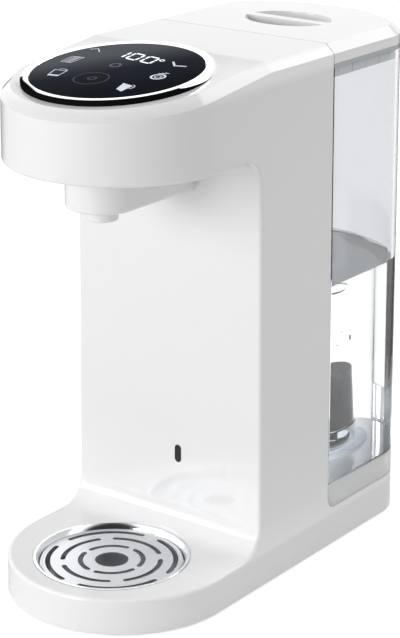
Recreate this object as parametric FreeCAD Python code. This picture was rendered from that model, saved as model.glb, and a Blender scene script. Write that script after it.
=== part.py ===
import FreeCAD, Part
import math
import os

# Countertop water dispenser for baby bottles. Millimetres, +Z up.
# While modelling, y = 0 is the centre of the round front and -y is the front;
# every piece is moved at the end so that the origin is the bottom centre of the whole machine.

V = FreeCAD.Vector

# outer form
WIDTH = 138.0
DEPTH = 291.2
HEIGHT = 313.0
DRAFT = 0.0118          # inward lean of every outer wall, per mm of height
REAR_CORNER = 30.0      # plan radius of the two rear corners at the floor
REAR_BOW = 89.0         # plan radius of the bowed rear at the floor
BEVEL = 5.5             # 45 degree band round the top
SLOPE = 0.118           # fall of the top towards the front
KINK_Y = 51.0           # where the flat top starts to fall
WALL = 2.4
FOOT = 1.0              # gap under the housing left by the feet
EDGE = 2.2              # rounding of the edges round the bottle bay

# bottle bay
BASE_TOP = 22.0
COLUMN_Y = 41.5
HEAD_DEPTH = 53.0       # flat top down to the underside of the head
COVE = 17.0
HEAD_CORNER = 14.0

# splits
SEAM_Y = 113.0          # front of the tank and of its lid
CAP_SIDE = 8.5          # straight side of the cover and of the lid below the bevel
FIT = 0.3               # gap between pieces that lift apart
SNUG = 0.2              # gap between fixed pieces

# drip tray
TRAY_Y = -12.0
TRAY_R = 46.0
TRAY_SLOPE = 4.0        # how far the polished rim runs in to the grille
RIM_W = 1.6             # flat ring of the cup rim
CUP_DEPTH = 12.4
CUP_WALL = 0.8
RIM_T = 1.4
GRILLE_T = 1.2
GRILLE_DROP = 2.8       # top of the grille below the top of the base
DRAIN_R = 9.8
SLOT_W = 3.0
SLOT_RINGS = ((18.4, 45.0), (28.8, 0.0), (37.6, 45.0))
SLOT_SPAN = 70.0

# control panel
PANEL_Y = -2.0
PANEL_MARGIN = 15.6     # outer edge of the bezel in from the side of the housing
BEZEL_W = 5.1           # bezel ring from its outer edge in to the glass
BEZEL_LAP = 3.4         # bezel ring that lies on the cover
BEZEL_H = 3.0
GLASS_T = 2.2
DISPLAY_X = -1.0
DISPLAY_W = 36.0
DISPLAY_H = 17.0
DISPLAY_DROP = 14.0     # display in from the rear edge of the glass
FRAME_BORE = 20.0

# spout
NOZZLE_Y = -16.5
SPOUT_R = 20.6
SPOUT_DROP = 24.2
NOZZLE_R = 9.4
NOZZLE_DROP = 7.8
SPOUT_WALL = 2.0
HOSE_R = 5.2
HOSE_BORE = 3.2

# tank
TANK_WALL = 2.5
DECK = 24.5
FLOOR = 41.0
SKIRT_CORNER = 8.0
COLLAR_DROP = 6.2       # lid collar below the tank rim
GASKET_T = 2.2
GASKET_SLOT = 0.6       # upright slots that let the gasket bend
GASKET_SLOT_DEPTH = 1.2
GASKET_SLOT_PITCH = 14.3
WELL_A = 28.0
WELL_B = 22.0
WELL_DEPTH = 8.0
BAR_W = 7.2

# valve under the tank
VALVE_R = 13.0
VALVE_BORE = 10.5
VALVE_DROP = 7.5        # valve end below the deck
SOCKET_FLOOR = 10.4
PORT_R = 6.0
LIFT = 3.0              # how far the seated tank opens the valve
STEM_R = 2.4
POPPET_R = 8.6
POPPET_T = 2.4
RUN = 0.06              # radial running clearance

# filter
FILTER_R = 22.0
FILTER_TOP_R = 16.0
FILTER_H = 105.0
FLANGE_R = 33.0
FILTER_WALL = 1.6

# inside
PANEL_T = 2.4
PANEL_SCREW_RISE = 40.0     # lower panel screws above the deck
PANEL_SCREW_DROP = 50.0     # upper panel screws below the tank rim
HEATER_X = 26.0
HEATER_Y = 84.0
HEATER_R = 16.0
HEATER_Z = 122.0
HEATER_DROP = 30.0          # top of the heater below the underside of the head
HEATER_WALL = 1.2
CLAMP_IN = 18.0             # clamps in from the ends of the heater
CLAMP_H = 10.0
CLAMP_T = 2.6
CLAMP_W = 14.0
THERMOSTAT_R = 6.0
THERMOSTAT_T = 6.0
THERMOSTAT_RISE = 40.0
THERMOSTAT_PITCH = 26.0
PROBE_R = 2.4
PROBE_L = 8.0
PUMP_X = 26.0
PUMP_Y = 88.0
PUMP_Z = 36.0
PUMP_R = 19.0
PUMP_H = 14.0
MOTOR_R = 14.0
MOTOR_L = 34.0
SHAFT_R = 1.5
BOARD_T = 1.6
BOARD_Y = 98.0
BOARD_MARGIN = 11.0         # power board in from the side of the housing
BOARD_W = 52.0
BOARD_H = 120.0
BOARD_RISE = 45.0           # power board above the deck
BOARD_EDGE = 4.5            # its screws in from its edges
STANDOFF_R = 3.4
PART_GAP = 4.0              # between the parts on the board
TRANSFORMER_W = 24.0
TRANSFORMER_H = 26.0
TRANSFORMER_T = 22.0
RELAY_W = 10.0
RELAY_H = 19.0
RELAY_T = 15.0
TERMINAL_W = 24.0
TERMINAL_H = 9.0
CAPACITOR_R = 6.0
CAPACITOR_L = 18.0
SENSOR_BOARD_W = 16.0
SENSOR_BOARD_H = 24.0
WINDOW_X = 8.0
WINDOW_Z = 70.7
WINDOW_W = 4.6
WINDOW_H = 11.0
SCREW_R = 1.5
SCREW_L = 9.0
SCREW_HEAD = 3.0
SCREW_HEAD_T = 1.4
FOOT_R = 8.0
FOOT_X = 36.0           # front feet
FOOT_Y = -44.0
BOSS_Y = -24.0          # front screw bosses of the base
GLAND_R = 4.6
GLAND_Z = 13.0
GLAND_LAP = 2.4
CORD_R = 2.6
VENT_W = 2.4
VENT_L = 24.0
VENT_PITCH = 6.0
VENTS = 7

R = WIDTH / 2
BEZEL_R = R - PANEL_MARGIN
GLASS_R = BEZEL_R - BEZEL_W
PANEL_HOLE = BEZEL_R - BEZEL_LAP
REAR_Y = DEPTH - R
HEAD_Z = HEIGHT - HEAD_DEPTH
SEAM_DROP = BEVEL + CAP_SIDE
RIM_Z = HEIGHT - SEAM_DROP
CORNER_X = R - REAR_CORNER
BOW_Y = REAR_Y - REAR_BOW
CORNER_Y = BOW_Y + math.sqrt((REAR_BOW - REAR_CORNER) ** 2 - CORNER_X ** 2)
TANK_Y = SEAM_Y + FIT
VALVE_Y = (TANK_Y + REAR_Y) / 2
FAR = 2 * (WIDTH + DEPTH + HEIGHT)


def cyl(r, z0, z1, x=0.0, y=0.0):
    return Part.makeCylinder(r, z1 - z0, V(x, y, z0))


def tube(ro, ri, z0, z1, x=0.0, y=0.0):
    return cyl(ro, z0, z1, x, y).cut(cyl(ri, z0, z1, x, y))


def block(x0, x1, y0, y1, z0, z1):
    return Part.makeBox(x1 - x0, y1 - y0, z1 - z0, V(x0, y0, z0))


def outline(corners, place):
    """Closed wire through corners (u, v, radius), each corner rounded to its radius."""
    cuts = []
    n = len(corners)
    for i in range(n):
        u, v, r = corners[i]
        here = V(u, v, 0)
        a = V(corners[i - 1][0], corners[i - 1][1], 0) - here
        b = V(corners[(i + 1) % n][0], corners[(i + 1) % n][1], 0) - here
        a.normalize()
        b.normalize()
        if r <= 0:
            cuts.append((here, here, here))
            continue
        half = math.acos(max(-1.0, min(1.0, a.dot(b)))) / 2
        run = r / math.tan(half)
        mid = a + b
        mid.normalize()
        cuts.append((here + a * run, here + mid * (r / math.sin(half) - r), here + b * run))
    edges = []
    for i in range(n):
        p, m, q = cuts[i]
        if (q - p).Length > 1e-6:
            edges.append(Part.Arc(place(p.x, p.y), place(m.x, m.y), place(q.x, q.y)).toShape())
        nxt = cuts[(i + 1) % n][0]
        if (nxt - q).Length > 1e-6:
            edges.append(Part.makeLine(place(q.x, q.y), place(nxt.x, nxt.y)))
    return Part.Wire(edges)


def side_prism(corners, half=FAR):
    """Solid across the whole width from a (y, z, radius) outline."""
    wire = outline(corners, lambda u, v: V(-half, u, v))
    return Part.Face(wire).extrude(V(2 * half, 0, 0))


def turned(profile, x=0.0, y=0.0):
    """Solid of revolution about the vertical through (x, y).

    The profile is a list of (r, z) corners; (rm, zm, r, z) is an arc through (rm, zm) to (r, z).
    """
    edges = []
    here = V(profile[0][0], 0, profile[0][1])
    for step in profile[1:] + profile[:1]:
        end = V(step[-2], 0, step[-1])
        if len(step) == 4:
            edges.append(Part.Arc(here, V(step[0], 0, step[1]), end).toShape())
        else:
            edges.append(Part.makeLine(here, end))
        here = end
    face = Part.Face(Part.Wire(edges))
    return face.revolve(V(0, 0, 0), V(0, 0, 1), 360).translated(V(x, y, 0))


def plan(inset, z):
    """Plan outline at height z: round front, straight sides, bowed rear with round corners."""
    o = inset + DRAFT * z
    r = R - o
    rc = REAR_CORNER - o
    rb = REAR_BOW - o
    turn = math.atan2(CORNER_Y - BOW_Y, CORNER_X)

    def at(cx, cy, rad, ang):
        return V(cx + rad * math.cos(ang), cy + rad * math.sin(ang), z)

    right = [at(CORNER_X, CORNER_Y, rc, a) for a in (0, turn / 2, turn)]
    left = [at(-CORNER_X, CORNER_Y, rc, math.pi - a) for a in (turn, turn / 2, 0)]
    return Part.Wire([
        Part.makeLine(V(r, 0, z), right[0]),
        Part.Arc(*right).toShape(),
        Part.Arc(right[2], V(0, BOW_Y + rb, z), left[0]).toShape(),
        Part.Arc(*left).toShape(),
        Part.makeLine(left[2], V(-r, 0, z)),
        Part.Arc(V(-r, 0, z), V(0, -r, z), V(r, 0, z)).toShape(),
    ])


def form(inset, z0, z1):
    """The drafted outer form, moved inwards by inset, between two heights."""
    return Part.makeLoft([plan(inset, z0), plan(inset, z1)], True, True)


def under_top(drop):
    """Everything below the top surface lowered by drop: flat behind the kink, falling in front."""
    z = HEIGHT - drop
    return side_prism([(-FAR, -FAR, 0), (FAR, -FAR, 0), (FAR, z, 0), (KINK_Y, z, 0),
                       (-FAR, z - SLOPE * (KINK_Y + FAR), 0)])


def top_z(y):
    return HEIGHT - SLOPE * max(0.0, KINK_Y - y)


def front_of(y):
    return block(-FAR, FAR, -FAR, y, -FAR, FAR)


def behind(y):
    return block(-FAR, FAR, y, FAR, -FAR, FAR)


def above(z):
    return block(-FAR, FAR, -FAR, FAR, z, FAR)


def loop_edges(shape, is_inner):
    """Edges between one face picked by is_inner and one that is not."""
    picked = [f for f in shape.Faces if is_inner(f)]
    rest = [f for f in shape.Faces if not is_inner(f)]
    found = []
    for f in picked:
        for e in f.Edges:
            if any(e.isSame(o) for g in rest for o in g.Edges):
                found.append(e)
    return found


def bevelled_top(inset, drop, bevel):
    """Upper part of the form under the top surface, with its 45 degree band."""
    body = form(inset, HEAD_Z - 20, HEIGHT + 5).common(under_top(drop))
    return body.makeChamfer(bevel, loop_edges(body, lambda f: f.normalAt(0, 0).z > 0.9))


def hose(points, bend, ro, ri):
    """Hose along straight runs joined by tangent arcs."""
    edges = []
    start = points[0]
    for i in range(1, len(points) - 1):
        here = points[i]
        a = (points[i - 1] - here).normalize()
        b = (points[i + 1] - here).normalize()
        half = math.acos(max(-1.0, min(1.0, a.dot(b)))) / 2
        run = bend / math.tan(half)
        mid = (a + b).normalize()
        p = here + a * run
        q = here + b * run
        m = here + mid * (bend / math.sin(half) - bend)
        if (p - start).Length > 1e-6:
            edges.append(Part.makeLine(start, p))
        edges.append(Part.Arc(p, m, q).toShape())
        start = q
    edges.append(Part.makeLine(start, points[-1]))
    path = Part.Wire(edges)
    axis = (points[1] - points[0]).normalize()
    outer = path.makePipeShell([Part.Wire(Part.makeCircle(ro, points[0], axis))], True, True)
    inner = path.makePipeShell([Part.Wire(Part.makeCircle(ri, points[0], axis))], True, True)
    return outer.cut(inner)


parts = {}

BAY = side_prism([(-FAR, BASE_TOP, 0), (COLUMN_Y, BASE_TOP, COVE),
                  (COLUMN_Y, HEAD_Z, HEAD_CORNER), (-FAR, HEAD_Z, 0)])
TANK_SPACE = side_prism([(SEAM_Y, DECK, SKIRT_CORNER), (FAR, DECK, 0),
                         (FAR, FAR, 0), (SEAM_Y, FAR, 0)])

# screw bosses of the base: centre and the height they hang from, mirrored left and right
PLATE_TOP = FOOT + WALL
BOSS_R = SCREW_R + 2.6
BASE_BOSSES = [(s * x, y, z) for s in (-1, 1) for x, y, z in (
    (R - WALL - BOSS_R - 8, BOSS_Y, BASE_TOP - WALL),
    (R - WALL - BOSS_R + 0.5, COLUMN_Y + 20, BASE_TOP - 4),
    (R - WALL - BOSS_R - 8, VALVE_Y - 18, DECK - WALL))]
PANEL_BACK = SEAM_Y - SNUG
PANEL_FRONT = PANEL_BACK - PANEL_T
SIDE_BOSSES = [(s * (R - WALL - DRAFT * z - BOSS_R + 0.5), z) for s in (-1, 1)
               for z in (DECK + PANEL_SCREW_RISE, RIM_Z - PANEL_SCREW_DROP)]

# main housing: base, column and head as one drafted shell
well_r = TRAY_R - RIM_W + 0.2
well_z = BASE_TOP - CUP_DEPTH - 1.6
rim_z = BASE_TOP - RIM_T + 0.4
shell = form(0, FOOT, HEIGHT + 5).common(under_top(SEAM_DROP)).cut(BAY)


def in_bay(face):
    box = face.BoundBox
    return box.ZMin > BASE_TOP - 0.01 and box.ZMax < HEAD_Z + 0.01


shell = shell.makeFillet(EDGE, loop_edges(shell, in_bay))
shell = shell.cut(TANK_SPACE)
room = side_prism([(-FAR, -FAR, 0), (FAR, -FAR, 0), (FAR, DECK - WALL, 0), (SEAM_Y, DECK - WALL, 0),
                   (SEAM_Y, FAR, 0), (-FAR, FAR, 0), (-FAR, HEAD_Z + WALL, 0),
                   (COLUMN_Y + WALL, HEAD_Z + WALL, HEAD_CORNER + WALL),
                   (COLUMN_Y + WALL, BASE_TOP - WALL, COVE + WALL), (-FAR, BASE_TOP - WALL, 0)])
shell = shell.cut(room.common(form(WALL, -5, HEIGHT + 10)))
shell = shell.fuse([cyl(well_r + WALL, well_z - 2, BASE_TOP - 1, 0, TRAY_Y)]
                   + [cyl(BOSS_R, PLATE_TOP + SNUG, z, x, y) for x, y, z in BASE_BOSSES]
                   + [Part.makeCylinder(BOSS_R, SCREW_L + 2, V(x, PANEL_FRONT - SCREW_L - 2, z), V(0, 1, 0))
                      for x, z in SIDE_BOSSES])
seat_r = VALVE_R + FIT + WALL
gland_seat = REAR_Y - WALL - DRAFT * GLAND_Z - 0.35
shell = shell.cut(Part.makeCompound(
    [cyl(well_r, well_z, HEAD_Z - 20, 0, TRAY_Y), cyl(TRAY_R + FIT, rim_z, HEAD_Z - 20, 0, TRAY_Y),
     cyl(seat_r + SNUG, 0, DECK + 5, 0, VALVE_Y),
     cyl(HOSE_R + 1.8, HEAD_Z - 1, HEAD_Z + WALL + 1, 0, NOZZLE_Y),
     Part.makeCylinder(GLAND_R + SNUG, 20, V(0, REAR_Y - 10, GLAND_Z), V(0, 1, 0))]))
shell = shell.cut(Part.makeCompound(
    [cyl(SCREW_R, 0, PLATE_TOP + SCREW_L + 1, x, y) for x, y, z in BASE_BOSSES]
    + [Part.makeCylinder(SCREW_R, SCREW_L, V(x, PANEL_FRONT - SCREW_L, z), V(0, 1, 0))
       for x, z in SIDE_BOSSES]))


def pill(width, height, y0, y1):
    """Upright slot with round ends on the column face."""
    r = width / 2
    half = height / 2 - r
    flat = block(WINDOW_X - r, WINDOW_X + r, y0, y1, WINDOW_Z - half, WINDOW_Z + half)
    return flat.fuse([Part.makeCylinder(r, y1 - y0, V(WINDOW_X, y0, WINDOW_Z + s * half), V(0, 1, 0))
                      for s in (-1, 1)]).removeSplitter()


shell = shell.cut(pill(WINDOW_W + SNUG, WINDOW_H + SNUG, COLUMN_Y - 5, COLUMN_Y + WALL + 1))
raised = above(BASE_TOP).common(front_of(SEAM_Y))
parts["base_housing"] = shell.cut(raised)
parts["column_housing"] = shell.common(raised).cut(above(HEAD_Z))
parts["head_housing"] = shell.common(above(HEAD_Z))

# top cover with its bevelled band, and the hole for the round panel
TILT = math.degrees(math.atan(SLOPE))
PANEL_UNDER = -WALL * math.cos(math.radians(TILT))


def on_panel(shape):
    """Take a shape drawn about the panel's centre on to the falling top."""
    shape = shape.copy()
    shape.rotate(V(0, 0, 0), V(1, 0, 0), TILT)
    return shape.translated(V(0, PANEL_Y, top_z(PANEL_Y)))


crown = bevelled_top(0, 0, BEVEL)
hollow = bevelled_top(WALL, WALL, BEVEL - (2 - math.sqrt(2)) * WALL)
cover = crown.common(front_of(SEAM_Y)).cut(hollow.common(front_of(SEAM_Y - WALL)))
cover = cover.cut(under_top(SEAM_DROP))
lip = form(WALL, HEAD_Z, HEIGHT).cut(form(WALL + 1.6, HEAD_Z - 5, HEIGHT + 5)).cut(under_top(SEAM_DROP))
lip = lip.fuse(form(WALL + SNUG, HEAD_Z, HEIGHT).cut(form(WALL + 1.6, HEAD_Z - 5, HEIGHT + 5)))
lip = lip.common(under_top(SEAM_DROP - 3)).cut(under_top(SEAM_DROP + 4)).common(front_of(SEAM_Y - 14))
cover = cover.fuse(lip)
screw_ring = (PANEL_HOLE + BEZEL_R) / 2 + 1.2
panel_screws = [(screw_ring * math.cos(a), screw_ring * math.sin(a))
                for a in (math.radians(45 + 90 * k) for k in range(4))]
cover = cover.cut(on_panel(Part.makeCompound(
    [cyl(PANEL_HOLE, -12, 8)] + [cyl(SCREW_R, -10, -0.5, x, y) for x, y in panel_screws])))
parts["top_cover"] = cover

ledge = 0.6
spigot = PANEL_HOLE - SNUG
inner = GLASS_R + SNUG
parts["panel_bezel"] = on_panel(turned([
    (GLASS_R - 2, PANEL_UNDER), (spigot, PANEL_UNDER), (spigot, 0), (BEZEL_R, 0), (BEZEL_R, BEZEL_H - 1.0),
    (BEZEL_R - 0.3, BEZEL_H - 0.4, BEZEL_R - 1.0, BEZEL_H - 0.1), (inner + 0.4, BEZEL_H),
    (inner, BEZEL_H - 0.4), (inner, ledge), (GLASS_R - 2, ledge)]))
parts["panel_glass"] = on_panel(turned([
    (0, ledge), (GLASS_R, ledge), (GLASS_R, ledge + GLASS_T - 0.3),
    (GLASS_R - 0.3, ledge + GLASS_T), (0, ledge + GLASS_T)]))
frame_r = screw_ring + SCREW_HEAD
frame_z = PANEL_UNDER - 2.0
parts["display_frame"] = on_panel(tube(frame_r, FRAME_BORE, frame_z, PANEL_UNDER).cut(Part.makeCompound(
    [cyl(SCREW_R + SNUG, frame_z - 1, PANEL_UNDER + 1, x, y) for x, y in panel_screws]))).common(hollow)
parts["frame_screws"] = on_panel(Part.makeCompound([
    cyl(SCREW_HEAD - 0.4, frame_z - SCREW_HEAD_T, frame_z, x, y).fuse(cyl(SCREW_R, frame_z, -0.6, x, y))
    for x, y in panel_screws]))
board_top = PANEL_UNDER + BOARD_T
parts["display_board"] = on_panel(cyl(GLASS_R - 2.4, PANEL_UNDER, board_top))
display_y = GLASS_R - DISPLAY_DROP
parts["display_module"] = on_panel(block(DISPLAY_X - DISPLAY_W / 2, DISPLAY_X + DISPLAY_W / 2,
                                         display_y - DISPLAY_H, display_y, board_top, ledge - 0.2))

# spout housing, nozzle
spout_z = HEAD_Z - SPOUT_DROP


def u_shape(r, z0, z1):
    return cyl(r, z0, z1, 0, NOZZLE_Y).fuse(block(-r, r, NOZZLE_Y, COLUMN_Y + 5, z0, z1)).removeSplitter()


spout = u_shape(SPOUT_R, spout_z, HEAD_Z).common(BAY)
spout = spout.makeFillet(1.6, loop_edges(spout, lambda f: f.BoundBox.ZMax < spout_z + 0.01)[:3])
spout = spout.cut(u_shape(SPOUT_R - SPOUT_WALL, spout_z + SPOUT_WALL, HEAD_Z + 1).common(
    front_of(COLUMN_Y - HEAD_CORNER - SPOUT_WALL)))
spout = spout.cut(cyl(NOZZLE_R + SNUG, spout_z - 1, spout_z + 4, 0, NOZZLE_Y))
parts["spout_housing"] = spout
tip_z = spout_z - NOZZLE_DROP
lug_z = spout_z + SPOUT_WALL
parts["nozzle"] = turned([
    (2.4, tip_z + 1.2), (3.6, tip_z), (NOZZLE_R - 2.2, tip_z),
    (NOZZLE_R - 0.9, tip_z + 0.4, NOZZLE_R - 0.5, tip_z + 1.6),
    (NOZZLE_R, lug_z), (NOZZLE_R + 3, lug_z), (NOZZLE_R + 3, lug_z + 1.6), (HOSE_R, lug_z + 1.6),
    (HOSE_R, lug_z + 2.4), (HOSE_BORE, lug_z + 2.4), (HOSE_BORE, lug_z + 11), (2.4, lug_z + 11)],
    0, NOZZLE_Y)

# drip cup of polished sheet and the slotted grille
grille_r = TRAY_R - TRAY_SLOPE - FIT
grille_top = BASE_TOP - GRILLE_DROP
grille_z = grille_top - GRILLE_T
cup_z = BASE_TOP - CUP_DEPTH
lip_r = TRAY_R - RIM_W
foot_r = TRAY_R - TRAY_SLOPE
parts["drip_cup"] = turned([
    (0, cup_z), (foot_r - 4.6, cup_z), (foot_r - 3.2, cup_z + 1.4), (foot_r - 1.6, grille_z - CUP_WALL),
    (foot_r + 0.8, grille_z - CUP_WALL), (well_r - FIT, grille_z + 1.6), (well_r - FIT, rim_z),
    (TRAY_R, rim_z), (TRAY_R, BASE_TOP + 0.2), (TRAY_R - 0.2, BASE_TOP + 0.4), (lip_r, BASE_TOP + 0.4),
    (foot_r + 0.6, grille_top + 0.4, foot_r, grille_z), (foot_r - 2.4, grille_z),
    (foot_r - 4.0, cup_z + 2.0), (foot_r - 5.2, cup_z + CUP_WALL), (0, cup_z + CUP_WALL)], 0, TRAY_Y)


def arc_slot(r, middle, z0, z1):
    """One curved slot with round ends, centred on an angle in degrees."""
    h = z1 - z0
    bend = Part.makeCylinder(r + SLOT_W / 2, h, V(0, 0, z0), V(0, 0, 1), SLOT_SPAN)
    bend = bend.cut(cyl(r - SLOT_W / 2, z0 - 1, z1 + 1))
    half = math.radians(SLOT_SPAN)
    ends = [cyl(SLOT_W / 2, z0, z1, r * math.cos(a), r * math.sin(a)) for a in (0.0, half)]
    slot = bend.fuse(ends).removeSplitter()
    slot.rotate(V(0, 0, 0), V(0, 0, 1), middle - SLOT_SPAN / 2)
    return slot.translated(V(0, TRAY_Y, 0))


grille = turned([(0, grille_z), (grille_r, grille_z), (grille_r, grille_top + 0.3),
                 (grille_r - 0.9, grille_top + 0.3), (grille_r - 1.3, grille_top),
                 (0, grille_top)], 0, TRAY_Y)
slots = [arc_slot(r, start + 90 * k, grille_z - 1, grille_top + 1)
         for r, start in SLOT_RINGS for k in range(4)]
parts["drip_grille"] = grille.cut(Part.makeCompound(
    slots + [cyl(DRAIN_R, grille_z - 1, grille_top + 1, 0, TRAY_Y)]))

# base plate, feet, screws, cord gland
FEET = [(s * x, y) for s in (-1, 1) for x, y in (
    (FOOT_X, FOOT_Y), (CORNER_X - 1, REAR_Y - REAR_CORNER - 2))]
plate = form(WALL + SNUG, FOOT, PLATE_TOP)
vent_y = COLUMN_Y + 22
vents = [block(-k * VENT_PITCH - VENT_W, -k * VENT_PITCH, vent_y, vent_y + VENT_L, 0, PLATE_TOP + 1)
         for k in range(VENTS)]
plate = plate.cut(Part.makeCompound(
    vents + [cyl(SCREW_R + SNUG, 0, PLATE_TOP + 1, x, y) for x, y, z in BASE_BOSSES]
    + [cyl(FOOT_R / 2 + SNUG / 2, 0, PLATE_TOP - 0.8, x, y) for x, y in FEET]))
plate = plate.cut(Part.makeCompound(
    [cyl(SCREW_HEAD + SNUG, 0, FOOT + SCREW_HEAD_T, x, y) for x, y, z in BASE_BOSSES]))
parts["base_plate"] = plate
parts["rubber_feet"] = Part.makeCompound([turned([
    (0, 0), (FOOT_R - 0.3, 0), (FOOT_R, FOOT), (FOOT_R / 2, FOOT), (FOOT_R / 2, PLATE_TOP - 0.9),
    (0, PLATE_TOP - 0.9)], x, y) for x, y in FEET])
parts["base_screws"] = Part.makeCompound([turned([
    (0, FOOT + 0.1), (SCREW_HEAD, FOOT + 0.1), (SCREW_HEAD, FOOT + SCREW_HEAD_T),
    (SCREW_R, FOOT + SCREW_HEAD_T), (SCREW_R, PLATE_TOP + SCREW_L), (0, PLATE_TOP + SCREW_L)], x, y)
    for x, y, z in BASE_BOSSES])
gland_l = REAR_Y - DRAFT * GLAND_Z - 0.4 - gland_seat
gland = Part.makeCylinder(GLAND_R, gland_l, V(0, gland_seat, GLAND_Z), V(0, 1, 0))
gland = gland.fuse(Part.makeCylinder(GLAND_R + GLAND_LAP, 4, V(0, gland_seat - 4, GLAND_Z), V(0, 1, 0)))
parts["cord_gland"] = gland.cut(Part.makeCylinder(CORD_R, FAR, V(0, gland_seat - FAR / 2, GLAND_Z), V(0, 1, 0)))

# sensor window and its small board
window = pill(WINDOW_W, WINDOW_H, COLUMN_Y - 0.1, COLUMN_Y + WALL)
window = window.fuse(pill(WINDOW_W + 3, WINDOW_H + 3, COLUMN_Y + WALL, COLUMN_Y + WALL + 1.6))
parts["sensor_window"] = window
back = COLUMN_Y + WALL + 1.6
half_w = SENSOR_BOARD_W / 2
half_h = SENSOR_BOARD_H / 2
parts["sensor_board"] = block(WINDOW_X - half_w, WINDOW_X + half_w, back, back + BOARD_T,
                              WINDOW_Z - half_h, WINDOW_Z + half_h)

# rear panel that closes the column and carries what is inside
board_x = BOARD_MARGIN - R
board_z = DECK + BOARD_RISE
STANDOFFS = [(x, z) for x in (board_x + BOARD_EDGE, board_x + BOARD_W - BOARD_EDGE)
             for z in (board_z + BOARD_EDGE, board_z + BOARD_H - BOARD_EDGE)]
board_back = BOARD_Y + BOARD_T
panel = form(WALL + SNUG, DECK - WALL, RIM_Z - SNUG).common(behind(PANEL_FRONT)).common(front_of(PANEL_BACK))
panel = panel.fuse([Part.makeCylinder(STANDOFF_R, PANEL_FRONT - board_back, V(x, board_back, z), V(0, 1, 0))
                    for x, z in STANDOFFS])
panel = panel.cut(Part.makeCompound(
    [Part.makeCylinder(SCREW_R + SNUG, 10, V(x, PANEL_FRONT - 1, z), V(0, 1, 0)) for x, z in SIDE_BOSSES]
    + [Part.makeCylinder(SCREW_R, SCREW_L, V(x, board_back - 1, z), V(0, 1, 0)) for x, z in STANDOFFS]))
head_y = PANEL_BACK - SCREW_HEAD_T - 0.1
panel = panel.cut(Part.makeCompound(
    [Part.makeCylinder(SCREW_HEAD + SNUG, 5, V(x, head_y, z), V(0, 1, 0)) for x, z in SIDE_BOSSES]))
parts["rear_panel"] = panel
parts["panel_screws"] = Part.makeCompound([
    Part.makeCylinder(SCREW_R, SCREW_L, V(x, head_y - SCREW_L, z), V(0, 1, 0)).fuse(
        Part.makeCylinder(SCREW_HEAD, SCREW_HEAD_T, V(x, head_y, z), V(0, 1, 0))) for x, z in SIDE_BOSSES])

# power board on the panel's standoffs
board = block(board_x, board_x + BOARD_W, BOARD_Y, board_back, board_z, board_z + BOARD_H)
parts["power_board"] = board.cut(Part.makeCompound(
    [Part.makeCylinder(SCREW_R + SNUG, 6, V(x, BOARD_Y - 2, z), V(0, 1, 0)) for x, z in STANDOFFS]))
parts["board_screws"] = Part.makeCompound([
    Part.makeCylinder(SCREW_R, SCREW_L - 1, V(x, BOARD_Y, z), V(0, 1, 0)).fuse(
        Part.makeCylinder(SCREW_HEAD - 0.4, SCREW_HEAD_T, V(x, BOARD_Y - SCREW_HEAD_T, z), V(0, 1, 0)))
    for x, z in STANDOFFS])


def on_board(x, z, w, h, t):
    """Block on the front of the power board, from the board's lower corner."""
    return block(board_x + x, board_x + x + w, BOARD_Y - t, BOARD_Y, board_z + z, board_z + z + h)


row = 3 * PART_GAP
can_x = board_x + 2 * PART_GAP + CAPACITOR_R
can_z = board_z + row + TRANSFORMER_H + 2 * PART_GAP + CAPACITOR_R
cans = [Part.makeCylinder(CAPACITOR_R, CAPACITOR_L, V(x, BOARD_Y - CAPACITOR_L, can_z), V(0, 1, 0))
        for x in (can_x, can_x + 2 * CAPACITOR_R + PART_GAP)]
parts["board_parts"] = Part.makeCompound([
    on_board(2 * PART_GAP, row, TRANSFORMER_W, TRANSFORMER_H, TRANSFORMER_T),
    on_board(row + TRANSFORMER_W, row, RELAY_W, RELAY_H, RELAY_T),
    on_board(2 * PART_GAP, BOARD_H - TERMINAL_H - 2 * row, TERMINAL_W, TERMINAL_H, TERMINAL_H)] + cans)

# instant heater: sealed tube with two end caps, two clamps to the panel
heater_top = HEAD_Z - HEATER_DROP
parts["heater_tube"] = tube(HEATER_R, HEATER_R - HEATER_WALL, HEATER_Z, heater_top, HEATER_X, HEATER_Y)


def heater_cap(z, up):
    cap = [(2.2, 0), (2.2, 14), (HOSE_BORE, 14), (HOSE_BORE, 4), (HEATER_R + 2, 4),
           (HEATER_R + 2, -6), (HEATER_R, -6), (HEATER_R, 0)]
    return turned([(r, z + up * h) for r, h in cap], HEATER_X, HEATER_Y)


parts["heater_caps"] = Part.makeCompound([heater_cap(HEATER_Z, -1), heater_cap(heater_top, 1)])


def clamp(x, y, r, z):
    """Ring round a cylinder with an arm back to the rear panel."""
    top = z + CLAMP_H
    arm = block(x - CLAMP_W / 2, x + CLAMP_W / 2, y + r + 1, PANEL_FRONT, z, top)
    return cyl(r + CLAMP_T, z, top, x, y).fuse(arm).cut(cyl(r, z - 1, top + 1, x, y))


parts["heater_clamps"] = Part.makeCompound([
    clamp(HEATER_X, HEATER_Y, HEATER_R, z) for z in (HEATER_Z + CLAMP_IN, heater_top - CLAMP_IN - CLAMP_H)])
core = cyl(HEATER_R, 0, FAR, HEATER_X, HEATER_Y)
first = HEATER_Z + THERMOSTAT_RISE
parts["thermostats"] = Part.makeCompound([
    Part.makeCylinder(THERMOSTAT_R, HEATER_R, V(HEATER_X, HEATER_Y - HEATER_R - THERMOSTAT_T, z),
                      V(0, 1, 0)).cut(core) for z in (first, first + THERMOSTAT_PITCH)])
parts["temperature_probe"] = cyl(PROBE_R, heater_top + 4, heater_top + 4 + PROBE_L,
                                 HEATER_X - HEATER_R / 2 - 1, HEATER_Y)

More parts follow.
